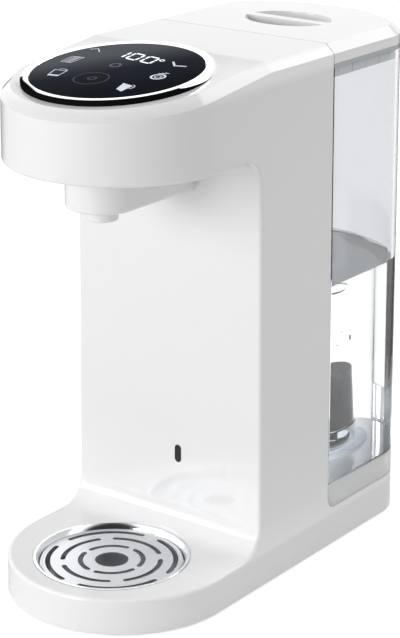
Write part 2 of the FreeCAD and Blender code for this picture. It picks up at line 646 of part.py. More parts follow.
# pump: volute with the impeller, motor above, bracket to the panel
pump_top = PUMP_Z + PUMP_H
volute = cyl(PUMP_R, PUMP_Z, pump_top, PUMP_X, PUMP_Y).fuse([
    cyl(HOSE_BORE, PUMP_Z - 10, PUMP_Z, PUMP_X, PUMP_Y),
    Part.makeCylinder(HOSE_BORE, 9, V(PUMP_X, PUMP_Y - PUMP_R - 7, PUMP_Z + PUMP_H / 2), V(0, 1, 0))])
volute = volute.cut(Part.makeCompound([
    cyl(PUMP_R - 2.6, PUMP_Z + 2.4, pump_top - 2.4, PUMP_X, PUMP_Y)]))
volute = volute.cut(Part.makeCompound([
    cyl(2.2, PUMP_Z - 11, PUMP_Z + 3, PUMP_X, PUMP_Y),
    cyl(SHAFT_R + RUN, pump_top - 3, pump_top + 1, PUMP_X, PUMP_Y)]))
volute = volute.cut(Part.makeCylinder(2.2, 20, V(PUMP_X, PUMP_Y - PUMP_R - 12, PUMP_Z + PUMP_H / 2),
                                      V(0, 1, 0)))
parts["pump_volute"] = volute
disc_z = PUMP_Z + 3.6
impeller = turned([(0, disc_z), (PUMP_R - 5, disc_z), (PUMP_R - 5, disc_z + 1.4), (4, disc_z + 1.4),
                   (4, disc_z + 5.6), (SHAFT_R, disc_z + 5.6), (SHAFT_R, pump_top + 9), (0, pump_top + 9)],
                  PUMP_X, PUMP_Y)
vane = block(PUMP_X + 3, PUMP_X + PUMP_R - 5.4, PUMP_Y - 0.7, PUMP_Y + 0.7, disc_z + 1, disc_z + 5.6)
vanes = []
for k in range(6):
    turn = vane.copy()
    turn.rotate(V(PUMP_X, PUMP_Y, 0), V(0, 0, 1), 60 * k)
    vanes.append(turn)
parts["pump_impeller"] = impeller.fuse(vanes)
motor = cyl(MOTOR_R, pump_top, pump_top + MOTOR_L, PUMP_X, PUMP_Y).fuse(
    [block(PUMP_X + s * 7 - 2, PUMP_X + s * 7 + 2, PUMP_Y - 0.5, PUMP_Y + 0.5,
           pump_top + MOTOR_L - 1, pump_top + MOTOR_L + 6) for s in (-1, 1)])
parts["pump_motor"] = motor.cut(cyl(SHAFT_R + RUN, pump_top - 1, pump_top + 10, PUMP_X, PUMP_Y))
parts["pump_bracket"] = clamp(PUMP_X, PUMP_Y, MOTOR_R, pump_top + CLAMP_H)

# seat in the deck that takes the tank's valve, with the pin that opens it
valve_z = DECK - VALVE_DROP
plate_z = valve_z + 2.4
seal_z = plate_z + LIFT
disc0 = seal_z + 0.8
seat_z = SOCKET_FLOOR - 2
nip_z = seat_z + 5.4
seat = turned([(0, seat_z), (seat_r, seat_z), (seat_r, DECK), (seat_r + 5, DECK), (seat_r + 5, DECK + 1.2),
               (seat_r + 4.6, DECK + 1.6), (VALVE_R + FIT, DECK + 1.6), (VALVE_R + FIT, SOCKET_FLOOR),
               (2.2, SOCKET_FLOOR), (2.2, disc0 - 1), (1.6, disc0), (0, disc0)], 0, VALVE_Y)
seat = seat.fuse(Part.makeCylinder(HOSE_BORE, 12, V(0, VALVE_Y - seat_r - 11, nip_z), V(0, 1, 0)))
seat = seat.cut(Part.makeCylinder(2.2, 16, V(0, VALVE_Y - seat_r - 12, nip_z), V(0, 1, 0)))
parts["tank_seat"] = seat

# hoses
nip_y = VALVE_Y - seat_r
parts["inlet_hose"] = hose([V(0, nip_y - 2, nip_z), V(0, SEAM_Y + 14, nip_z), V(PUMP_X, PUMP_Y + 18, nip_z),
                            V(PUMP_X, PUMP_Y, nip_z), V(PUMP_X, PUMP_Y, PUMP_Z - 0.2)], 9, HOSE_R, HOSE_BORE)
out_y = PUMP_Y - PUMP_R
out_z = PUMP_Z + PUMP_H / 2
parts["pump_hose"] = hose([V(PUMP_X, out_y - 2, out_z), V(PUMP_X, out_y - 16, out_z),
                           V(PUMP_X, out_y - 16, HEATER_Z - 24), V(PUMP_X, HEATER_Y, HEATER_Z - 24),
                           V(PUMP_X, HEATER_Y, HEATER_Z - 5)], 8, HOSE_R, HOSE_BORE)
run_z = HEAD_Z + WALL + HOSE_R + 6
parts["outlet_hose"] = hose([V(HEATER_X, HEATER_Y, heater_top + 5), V(HEATER_X, HEATER_Y, run_z),
                             V(0, COLUMN_Y + 6, run_z), V(0, NOZZLE_Y, run_z),
                             V(0, NOZZLE_Y, lug_z + 2.4)], 11, HOSE_R, HOSE_BORE)


# clear tank: walls, raised floor and the skirt below it
def tank_form(inset, z0, z1):
    return form(inset, z0, z1).common(behind(TANK_Y + inset))


tank = form(0, DECK, RIM_Z).common(side_prism([
    (TANK_Y, DECK, SKIRT_CORNER), (FAR, DECK, 0), (FAR, FAR, 0), (TANK_Y, FAR, 0)]))
tank = tank.cut(tank_form(TANK_WALL, FLOOR, RIM_Z + 5))
skirt_y = TANK_Y + SKIRT_CORNER
under = side_prism([(TANK_Y + TANK_WALL, DECK + TANK_WALL, SKIRT_CORNER - TANK_WALL),
                    (skirt_y, DECK + TANK_WALL, 0), (skirt_y, -FAR, 0), (FAR, -FAR, 0),
                    (FAR, FLOOR - TANK_WALL, 0), (TANK_Y + TANK_WALL, FLOOR - TANK_WALL, 0)])
tank = tank.cut(form(TANK_WALL, DECK - 5, FLOOR).common(under))
tank = tank.cut(cyl(VALVE_R + SNUG, DECK, FLOOR + 5, 0, VALVE_Y))
parts["tank_body"] = tank

# drip-free valve in the tank floor
nut_z = FLOOR - TANK_WALL
neck_z = FLOOR + 4
spider_z = nut_z - 2.4
groove_r = VALVE_R - 1.4
nut_r = VALVE_R + 4
valve = turned([(PORT_R, valve_z), (VALVE_R - 0.8, valve_z), (VALVE_R, valve_z + 0.8), (VALVE_R, plate_z),
                (groove_r, plate_z), (groove_r, plate_z + 2), (VALVE_R, plate_z + 2), (VALVE_R, nut_z - 2),
                (nut_r, nut_z - 2), (nut_r, nut_z), (VALVE_R, nut_z), (VALVE_R, neck_z),
                (VALVE_BORE, neck_z), (VALVE_BORE, plate_z), (PORT_R, plate_z)], 0, VALVE_Y)
spider = cyl(VALVE_BORE + 0.5, spider_z, nut_z, 0, VALVE_Y).cut(Part.makeCompound(
    [cyl(STEM_R + RUN, spider_z - 1, nut_z + 1, 0, VALVE_Y)]
    + [cyl(2.2, spider_z - 1, nut_z + 1, 7 * math.cos(a), VALVE_Y + 7 * math.sin(a))
       for a in (math.radians(60 * k) for k in range(6))]))
parts["valve_body"] = valve.fuse(spider)
parts["valve_seal"] = tube(VALVE_R + FIT - 0.1, groove_r, plate_z, plate_z + 2, 0, VALVE_Y)
parts["valve_poppet"] = turned([
    (0, disc0), (POPPET_R, disc0), (POPPET_R, disc0 + POPPET_T - 0.6), (POPPET_R - 0.8, disc0 + POPPET_T),
    (STEM_R, disc0 + POPPET_T), (STEM_R, neck_z - 1.6), (STEM_R - 0.6, neck_z - 1),
    (0, neck_z - 1)], 0, VALVE_Y)
parts["poppet_seal"] = tube(POPPET_R - 0.3, PORT_R + 0.5, seal_z, disc0, 0, VALVE_Y)
spring0 = disc0 + POPPET_T
wire = 0.5
spring_r = 5.0
turns = 4
pitch = (spider_z - spring0 - 2 * wire) / turns
coil = Part.makeHelix(pitch, pitch * turns, spring_r)
section = Part.Wire(Part.makeCircle(wire, V(spring_r, 0, 0), V(0, 1, 0)))
coil = Part.Wire(coil.Edges).makePipeShell([section], True, True)
parts["valve_spring"] = coil.translated(V(0, VALVE_Y, spring0 + wire))

# filter that stands over the valve
collar_z = FLOOR + 15
filter_top = FLOOR + FILTER_H
base = turned([(VALVE_R + FIT, FLOOR), (FLANGE_R, FLOOR), (FLANGE_R, FLOOR + 1.2),
               (FLANGE_R - 0.6, FLOOR + 1.8), (FILTER_R, FLOOR + 1.8),
               (FILTER_R, collar_z), (5, collar_z), (5, neck_z + 2),
               (VALVE_R + FIT, neck_z + 2)], 0, VALVE_Y)
groove = tube(VALVE_R + 2, VALVE_R, FLOOR + 2, FLOOR + 3.6, 0, VALVE_Y)
ring_gap = tube(FILTER_R - 1.8, VALVE_R + 4, neck_z - 1.5, collar_z - 1.8, 0, VALVE_Y)
parts["filter_base"] = base.cut(groove).cut(ring_gap)
parts["filter_seal"] = tube(VALVE_R + 2, VALVE_R + 0.1, FLOOR + 2, FLOOR + 3.6, 0, VALVE_Y)
case = turned([(0, filter_top), (FILTER_TOP_R - 4, filter_top),
               (FILTER_TOP_R - 1, filter_top - 0.8, FILTER_TOP_R, filter_top - 3.4),
               (FILTER_R, collar_z), (FILTER_R - FILTER_WALL, collar_z),
               (FILTER_TOP_R - FILTER_WALL, filter_top - 4), (FILTER_TOP_R - 4, filter_top - FILTER_WALL),
               (0, filter_top - FILTER_WALL)], 0, VALVE_Y)
ports = []
for k in range(8):
    port = block(0, FILTER_R, -1.5, 1.5, filter_top - 34, filter_top - 10)
    port.rotate(V(0, 0, 0), V(0, 0, 1), 22.5 + 45 * k)
    ports.append(port.translated(V(0, VALVE_Y, 0)))
parts["filter_case"] = case.cut(Part.makeCompound(ports))
media_h = 36.0


def case_r(z):
    run = (z - collar_z) / (filter_top - 3.4 - collar_z)
    return FILTER_R - (FILTER_R - FILTER_TOP_R) * run - FILTER_WALL - SNUG


media_top = collar_z + media_h
parts["filter_media"] = turned([(0, collar_z), (case_r(collar_z), collar_z), (case_r(media_top), media_top),
                                (0, media_top)], 0, VALVE_Y)

# tank lid with two finger wells either side of a bar
lid = crown.common(behind(TANK_Y)).common(above(RIM_Z))
lid = lid.cut(hollow.common(behind(TANK_Y + WALL)))
well_y = (TANK_Y + REAR_Y) / 2 - 5.9
well_floor = HEIGHT - WELL_DEPTH


def ellipse(a, b, z0, z1):
    e = Part.Ellipse(V(0, well_y, z0), a, b).toShape()
    return Part.Face(Part.Wire([e])).extrude(V(0, 0, z1 - z0))


bar = block(-WELL_A - 5, WELL_A + 5, well_y - BAR_W / 2, well_y + BAR_W / 2, well_floor - 5, HEIGHT + 5)
bowl = FreeCAD.Matrix()
bowl.scale(WELL_A, WELL_B, WELL_DEPTH)
pockets = Part.makeSphere(1.0).transformGeometry(bowl).translated(V(0, well_y, HEIGHT)).cut(bar)
lid = lid.fuse(ellipse(WELL_A + 2, WELL_B + 2, well_floor - 2, HEIGHT - 1)).cut(pockets)
parts["tank_lid"] = lid
collar_in = TANK_WALL + GASKET_T + FIT
shelf_z = well_floor - 2
collar = tank_form(collar_in, RIM_Z - COLLAR_DROP, shelf_z).cut(
    tank_form(collar_in + 2, RIM_Z - COLLAR_DROP - 5, shelf_z - 1.8))
parts["lid_collar"] = collar
gasket_z0 = RIM_Z - COLLAR_DROP + 0.6
gasket_z1 = RIM_Z - 0.6
gasket = tank_form(TANK_WALL + FIT, gasket_z0, gasket_z1).cut(
    tank_form(collar_in, RIM_Z - COLLAR_DROP - 5, RIM_Z + 5))
skin = form(0, gasket_z0 - 1, gasket_z1 + 1).cut(
    form(TANK_WALL + FIT + GASKET_SLOT_DEPTH, gasket_z0 - 2, gasket_z1 + 2))
slot_count = int((CORNER_Y - TANK_Y) / GASKET_SLOT_PITCH)
slot_start = TANK_Y + GASKET_SLOT_PITCH / 2
slot_blades = [block(-FAR, FAR, y, y + GASKET_SLOT, gasket_z0 - 1, gasket_z1 + 1)
               for y in (slot_start + k * GASKET_SLOT_PITCH for k in range(slot_count))]
parts["lid_gasket"] = gasket.cut([skin.common(blade) for blade in slot_blades])

os.makedirs("parts", exist_ok=True)
shift = V(0, R - DEPTH / 2, 0)
for name, shape in parts.items():
    shape = shape.translated(shift)
    shape.exportStep("parts/" + name + ".step")
    ok = shape.isValid() and all(s.Volume > 0 for s in shape.Solids)
    print(name, len(shape.Solids), round(shape.Volume, 1), "ok" if ok else "BAD")
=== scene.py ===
"""Water dispenser for baby bottles: finishes, water, panel marks, studio and camera."""

import math

import bmesh
import bpy
from bpy.props import FloatProperty, FloatVectorProperty, PointerProperty
from mathutils import Matrix, Vector


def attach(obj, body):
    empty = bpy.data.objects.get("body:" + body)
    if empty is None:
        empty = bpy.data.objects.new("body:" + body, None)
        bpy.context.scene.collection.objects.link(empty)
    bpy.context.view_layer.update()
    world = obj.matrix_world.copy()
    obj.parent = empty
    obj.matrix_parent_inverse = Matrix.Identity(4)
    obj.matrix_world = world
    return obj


bl_info = {
    "name": "Bottle Water Dispenser",
    "version": (1, 0, 0),
    "blender": (4, 5, 0),
    "location": "View3D > Sidebar > Dispenser",
    "description": "Dresses a countertop bottle water dispenser and sets its studio",
    "category": "Object",
}

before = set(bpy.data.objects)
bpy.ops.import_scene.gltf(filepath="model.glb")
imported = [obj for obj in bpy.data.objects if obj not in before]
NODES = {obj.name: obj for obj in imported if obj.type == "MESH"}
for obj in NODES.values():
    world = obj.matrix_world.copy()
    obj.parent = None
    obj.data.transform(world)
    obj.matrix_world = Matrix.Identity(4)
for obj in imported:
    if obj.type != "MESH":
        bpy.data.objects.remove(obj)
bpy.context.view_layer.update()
MM = 0.001
WHITE = (1.0, 1.0, 1.0)

# ways across the part: up, to the rear on the right, and to the rear on the left
UP = (0.0, 0.0, 1.0)
RIGHT_REAR = (0.80, 0.60, 0.0)
LEFT_REAR = (-0.60, 0.80, 0.0)

# the round panel: centre of its plane on the cover, and the plane's tilt about X
PANEL_TILT = math.atan(0.118)
PANEL_CENTRE = Vector((0.0, -78.6, 306.746)) * MM
# height of the glass over that plane, millimetres
GLASS_TOP = 2.8
# where the ring turns from painted black, which stands for dark reflection and shade, to polished, metres
# from the panel's
# centre: up for its crown, to the left rear for its far wall; to the right rear the crown's limit comes
# down by the drop
RING_CROWN = (0.002915, 0.00293)
RING_REAR = (-0.002, 0.001)
RING_RIGHT = (0.034, 0.052)
RING_DROP = 0.0029
# and where it turns to painted black again at its near left
RING_TIP_WAY = (-0.518, -0.855, 0.0)
RING_TIP = (0.0496, 0.0506)
# the glass's painted reflection grows paler along this way, from this far before its centre to this far
# past it
GLASS_REFLECTION_WAY = (-0.80, 0.60, 0.0)
GLASS_REFLECTION_REACH = 0.04

# plan of the housing and tank at the floor, millimetres: half width, corner and bow radii and centres
SIDE = 69.0
CORNER = (30.0, 39.0)
BOW = (89.0, 56.6)
DRAFT = 0.0118
# the tank's wall, its front and its raised floor, millimetres
TANK_WALL = 2.5
TANK_FRONT = 36.7
TANK_FLOOR = 41.0
# heights on the lid, metres: foot of its white side, and bottom and top of the painted shade in its finger
# wells
LID_EDGE = (0.3017, 0.3019)
WELL_SHADE_HEIGHTS = (0.3050, 0.3131)
# the wells in plan, millimetres: how far back, and half length and half width
WELL_BACK = 85.25
WELL_HALF = (28.0, 22.0)
# the water laps into wall and floor, and rises where it meets the wall by inset and height, millimetres
WATER_LAP = 0.08
WATER_RISE = ((0.0, 1.1), (0.35, 0.75), (0.9, 0.3), (1.8, 0.07), (3.5, 0.0))
# where the cup's rim begins above its painted shade inside, and where the carbon's painted light runs from
# dark to pale, metres
CUP_RIM = (0.0172, 0.0176)
CARBON_LIGHT_HEIGHTS = (0.056, 0.094)
# share of the housing's white by height: painted light and shade, lighter at the base's top and near the
# cover's top
PAINTED_SHADE_HEIGHT = 0.32
HOUSING_PAINTED_SHADE = ((0.0, 1.03), (0.062, 1.02), (0.067, 1.13), (0.13, 1.04), (0.27, 0.98), (0.72, 0.965),
                 (0.82, 0.945), (0.93, 0.94), (0.947, 1.08), (0.970, 1.13), (0.9765, 0.97))

# how bright the room is, and how much brighter towards each side
ROOM_LEVEL = 0.505
ROOM_SLOPE = (0.0, -0.08, 0.0)
# how bright reflections find it, and where they find it dark: cosines where the dark starts and is full,
# and the shares of light before and after
GLOSS_LEVEL = 1.48
DARK_WAY = (0.593, -0.786, 0.174)
DARK_ZONE = (0.60, 0.78, 1.0, 0.02)
# how bright the floor and the room are behind clear pieces
BEHIND_CLEAR = 1.32
# the floor: radius and drop, metres, and light added where the camera sees it
FLOOR_RADIUS = 6.0
FLOOR_DROP = 0.0002
FLOOR_LIFT = 0.47
# how bright reflections find its dark part, and the ways and distances where that starts and is full
FLOOR_DARK_LEVEL = 0.02
FLOOR_DARK = (((0.0, 1.0, 0.0), 0.20, 0.40), ((-1.0, 0.0, 0.0), -0.25, -0.10))
# lamps: power, size and place, all turned to one point
LAMPS = {"key": (11.8, (0.8, 0.8), (-0.340, -1.927, 0.576)),
         "window": (6.4, (0.5, 0.55), (-1.253, -1.493, 0.610)),
         "rim": (8.6, (0.9, 0.9), (0.539, 1.269, 1.317))}
LAMP_TARGET = (0.0, 0.0, 0.16)
# the camera: turn, tilt and roll, place, focal length and picture height in pixels, sensor in millimetres
CAMERA_ANGLES = (0.6422, 0.3321, 0.0032)
CAMERA_PLACE = (0.7059, -0.9466, 0.5514)
FOCAL_PIXELS = 2082.5
PICTURE_PIXELS = 638.0
SENSOR = 36.0


def tank_outline(inset, height):
    """Points round the tank's plan at one height, moved in from its outer face, in metres."""
    off = inset + DRAFT * height
    corner_r, corner_x = CORNER[0] - off, CORNER[1]
    bow_r, bow_y = BOW[0] - off, BOW[1]
    corner_y = bow_y + math.sqrt((BOW[0] - CORNER[0]) ** 2 - corner_x ** 2)
    turn = math.atan2(corner_y - bow_y, corner_x)
    front = TANK_FRONT + inset
    points = [(SIDE - off, front)]
    for k in range(17):
        a = turn * k / 16
        points.append((corner_x + corner_r * math.cos(a), corner_y + corner_r * math.sin(a)))
    half = math.pi / 2 - turn
    for k in range(1, 16):
        a = turn + half * k / 16
        points.append((bow_r * math.cos(a), bow_y + bow_r * math.sin(a)))
    points.append((0.0, bow_y + bow_r))
    points += [(-x, y) for x, y in reversed(points[:-1])]
    return [Vector((x, y, height)) * MM for x, y in points]


class HousingSettings(bpy.types.PropertyGroup):
    white: FloatVectorProperty(
        name="Housing white", description="Colour of the gloss housing", subtype="COLOR",
        default=(0.86, 0.86, 0.865), min=0.0, max=1.0)
    roughness: FloatProperty(
        name="Gloss", description="Roughness of the gloss housing", default=0.11, min=0.0, max=1.0)


class PanelSettings(bpy.types.PropertyGroup):
    glass: FloatVectorProperty(
        name="Panel glass", description="Colour of the dark panel glass", subtype="COLOR",
        default=(0.0135, 0.018, 0.027), min=0.0, max=1.0)
    light: FloatVectorProperty(
        name="Lit marks", description="Colour of the lit marks", subtype="COLOR",
        default=(0.85, 0.92, 1.0), min=0.0, max=1.0)


class TankSettings(bpy.types.PropertyGroup):
    water_height: FloatProperty(
        name="Water height", description="Height of the water's surface above the counter",
        default=0.167, min=0.05, max=0.28, unit="LENGTH")
    # the tint is laid only on the wall above the water, as painted shade
    clear: FloatVectorProperty(
        name="Tank plastic", description="Tint of the clear tank", subtype="COLOR",
        default=(0.748, 0.757, 0.770), min=0.0, max=1.0)


# materials

class Tree:
    """A node tree, and short ways to add to it."""

    def __init__(self, owner):
        owner.use_nodes = True
        owner.node_tree.nodes.clear()
        self.nodes = owner.node_tree.nodes
        self.links = owner.node_tree.links

    def give(self, socket, value):
        """Link an output to a socket, or set the socket to a value."""
        if isinstance(value, bpy.types.NodeSocket):
            self.links.new(value, socket)
        else:
            socket.default_value = value

    def node(self, kind, *values, **inputs):
        """New node with its first inputs, and others by name, given."""
        made = self.nodes.new("ShaderNode" + kind)
        for socket, value in zip(made.inputs, values):
            self.give(socket, value)
        for key, value in inputs.items():
            self.give(made.inputs[key], value)
        return made

    def maths(self, operation, first, second, clamp=False):
        made = self.node("Math", first, second)
        made.operation = operation
        made.use_clamp = clamp
        return made.outputs[0]

    def vectors(self, operation, first, second):
        made = self.node("VectorMath", first, second)
        made.operation = operation
        return made.outputs["Value" if operation == "DOT_PRODUCT" else "Vector"]

    def reach(self, value, start, end, low=0.0, high=1.0, kind="LINEAR"):
        """Low before start, high after end."""
        made = self.node("MapRange", value, start, end, low, high)
        made.interpolation_type = kind
        return made.outputs["Result"]

    def choose(self, factor, low, high):
        """Low where the factor is 0, high where it is 1."""
        made = self.node("Mix", factor)
        made.data_type = "FLOAT"
        self.give(made.inputs[2], low)
        self.give(made.inputs[3], high)
        return made.outputs["Result"]


class Finish(Tree):
    """A material with one Principled shader, and helpers for its texture nodes."""

    def __init__(self, name):
        self.material = bpy.data.materials.new(name)
        super().__init__(self.material)
        self.shader = self.node("BsdfPrincipled")
        self.output = self.node("OutputMaterial", self.shader.outputs[0])
        self.place = self.node("TexCoord").outputs["Object"]

    def set(self, **values):
        for key, value in values.items():
            name = key.replace("_", " ").title().replace("Ior", "IOR")
            socket = self.shader.inputs[name]
            socket.default_value = (*value, 1.0) if socket.type == "RGBA" else value
        return self

    def feed(self, output, name):
        self.links.new(output, self.shader.inputs[name])
        return self

    def noise(self, scale, detail=3.0, rough=0.5, stretch=(1.0, 1.0, 1.0)):
        mapping = self.node("Mapping", self.place, Scale=stretch)
        return self.node("TexNoise", mapping.outputs[0], Scale=scale, Detail=detail,
                         Roughness=rough).outputs["Fac"]

    def ramp(self, value, stops):
        ramp = self.node("ValToRGB", value)
        elements = ramp.color_ramp.elements
        while len(elements) < len(stops):
            elements.new(0.5)
        for element, (at, colour) in zip(elements, stops):
            element.position = at
            element.color = (*colour, 1.0)
        return ramp.outputs["Color"]

    def mottle(self, grain, colour, share, stops=(0.3, 0.7), name="Base Color"):
        """Colour that falls to a share of itself where the grain is low."""
        return self.feed(self.ramp(grain, list(zip(stops, (tinted(colour, share), colour)))), name)

    def multiply(self, first, second, factor=1.0):
        mixed = self.node("Mix", factor)
        mixed.data_type = "RGBA"
        mixed.blend_type = "MULTIPLY"
        for socket, colour in zip([i for i in mixed.inputs if i.type == "RGBA"], (first, second)):
            self.links.new(colour, socket)
        return next(o for o in mixed.outputs if o.type == "RGBA")

    def between(self, value, low, high):
        return self.reach(value, 0.0, 1.0, low, high)

    def along(self, way, origin=(0.0, 0.0, 0.0)):
        """Distance from an origin along a direction, metres."""
        return self.vectors("DOT_PRODUCT", self.vectors("SUBTRACT", self.place, origin), way)

    def bump(self, value, distance, strength):
        node = self.node("Bump", Height=value, Distance=distance, Strength=strength)
        return self.feed(node.outputs["Normal"], "Normal")

    def moulded_gloss(self, rough):
        """Slow change of gloss over a moulding."""
        return self.feed(self.between(self.noise(25.0, 2.0), rough - 0.02, rough + 0.03), "Roughness")


def tinted(colour, amount):
    return tuple(max(0.0, min(1.0, c * amount)) for c in colour)


def gloss_plastic(name, colour, rough, rise=((0.0, 1.0), (1.0, 1.0))):
    """Moulded plastic: faint orange peel, a slow change of tone and gloss, and painted light and shade by
    height.
    """
    f = Finish(name)
    tone = f.ramp(f.noise(9.0, 1.0), [(0.0, (0.985,) * 3), (1.0, WHITE)])
    # height over which the painted light and shade by height is laid
    up = f.reach(f.along(UP), 0.0, PAINTED_SHADE_HEIGHT)
    f.feed(f.multiply(f.ramp(up, [(at, tinted(colour, part)) for at, part in rise]), tone), "Base Color")
    return f.moulded_gloss(rough).bump(f.noise(1200.0, 1.0), 0.000004, 0.5).set(ior=1.49).material


def satin_plastic(name, colour, rough=0.5):
    """Fine spark-eroded texture of an inner or lower moulding."""
    f = Finish(name)
    grain = f.noise(2600.0)
    f.feed(f.between(grain, rough - 0.06, rough + 0.08), "Roughness")
    return f.mottle(grain, colour, 0.93).bump(grain, 0.00004, 0.5).set(ior=1.49).material


def brushed_metal(name, colour, rough):
    """Sheet with a fine brushed grain along one way."""
    f = Finish(name)
    grain = f.noise(90.0, 4.0, 0.6, (40.0, 1.0, 1.0))
    f.feed(f.between(grain, rough - 0.05, rough + 0.07), "Roughness")
    return f.mottle(grain, colour, 0.93, (0.25, 0.75)).bump(grain, 0.00001, 0.25).set(metallic=1.0).material


def rubber(name, colour, rough=0.75):
    f = Finish(name)
    grain = f.noise(1500.0)
    return f.mottle(grain, colour, 0.8).bump(grain, 0.00005, 0.4).set(roughness=rough).material


def clear_plastic(name, colour, ior):
    f = Finish(name)
    f.feed(f.between(f.noise(30.0, 2.0), 0.01, 0.025), "Roughness")
    return f.set(base_color=colour, ior=ior, transmission_weight=1.0).material


def dress(material, *names):
    for name in names:
        mesh = NODES[name].data
        mesh.materials.clear()
        mesh.materials.append(material)


# meshes

# edges that turn by more than this stay sharp
CREASE = math.radians(28)


def finished(name, bm, material, body, smooth=True):
    """Make an object at the origin from a bmesh, with one finish, riding on a body."""
    bmesh.ops.remove_doubles(bm, verts=bm.verts, dist=1e-7)
    for edge in bm.edges:
        edge.smooth = smooth and edge.calc_face_angle(0.0) < CREASE
    mesh = bpy.data.meshes.new(name)
    bm.to_mesh(mesh)
    bm.free()
    for polygon in mesh.polygons:
        polygon.use_smooth = smooth
    mesh.materials.append(material)
    piece = bpy.data.objects.new(name, mesh)
    bpy.context.scene.collection.objects.link(piece)
    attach(piece, body)
    return piece


def loft(bm, rings):
    """Faces between successive closed rings of points; returns the rings' vertices."""
    made = [[bm.verts.new(p) for p in ring] for ring in rings]
    for low, high in zip(made, made[1:]):
        for i in range(len(low)):
            j = (i + 1) % len(low)
            bm.faces.new((low[i], low[j], high[j], high[i]))
    return made


def on_panel(x, y, lift):
    """Point x right, y back from the panel's centre and lift above the cover, millimetres."""
    c, s = math.cos(PANEL_TILT), math.sin(PANEL_TILT)
    return PANEL_CENTRE + Vector((x, y * c - lift * s, y * s + lift * c)) * MM


class Marks:
    """Flat marks drawn just above the glass of the panel, their row falling by slope to the right."""

    LIFT = GLASS_TOP + 0.03

    def __init__(self, slope=0.0):
        self.bm = bmesh.new()
        self.slope = slope

    def patch(self, points):
        self.bm.faces.new([self.bm.verts.new(on_panel(x, y + self.slope * x, self.LIFT))
                           for x, y in points])

    def stroke(self, points, width, closed=False):
        """Band along a run of points, mitred at its corners."""
        count = len(points)
        sides = []
        for i in range(count):
            here = Vector(points[i])
            before = Vector(points[i - 1]) if i or closed else None
            after = Vector(points[(i + 1) % count]) if i < count - 1 or closed else None
            a = (here - before).normalized() if before is not None else None
            b = (after - here).normalized() if after is not None else None
            way = (a or b) + (b or a)
            way.normalize()
            across = Vector((-way.y, way.x))
            reach = width / 2 / max(0.4, across.dot(Vector((-(b or a).y, (b or a).x))))
            sides.append((here + across * reach, here - across * reach))
        for i in range(count if closed else count - 1):
            (p, q), (r, t) = sides[i], sides[(i + 1) % count]
            self.patch([(q.x, q.y), (t.x, t.y), (r.x, r.y), (p.x, p.y)])

    def arc(self, x, y, rx, ry, width, start=0.0, span=360.0, turn=0.0):
        """Band along an ellipse's arc, angles in degrees, the ellipse turned by turn."""
        closed = span >= 360.0
        steps = max(6, int(span / 9))
        c, s = math.cos(math.radians(turn)), math.sin(math.radians(turn))
        points = []
        for k in range(steps if closed else steps + 1):
            a = math.radians(start + span * k / steps)
            u, v = rx * math.cos(a), ry * math.sin(a)
            points.append((x + u * c - v * s, y + u * s + v * c))
        self.stroke(points, width, closed)

    def digit(self, x, y, w, h, bars, width):
        """Seven-bar digit with its lower left corner at x, y; bars is a string out of a to g."""
        gap = width * 0.3
        ends = {"a": ((gap, h), (w - gap, h)), "b": ((w, h - gap), (w, h / 2 + gap)),
                "c": ((w, h / 2 - gap), (w, gap)), "d": ((gap, 0), (w - gap, 0)),
                "e": ((0, gap), (0, h / 2 - gap)), "f": ((0, h / 2 + gap), (0, h - gap)),
                "g": ((gap, h / 2), (w - gap, h / 2))}
        for bar in bars:
            (x0, y0), (x1, y1) = ends[bar]
            self.stroke([(x + x0, y + y0), (x + x1, y + y1)], width)


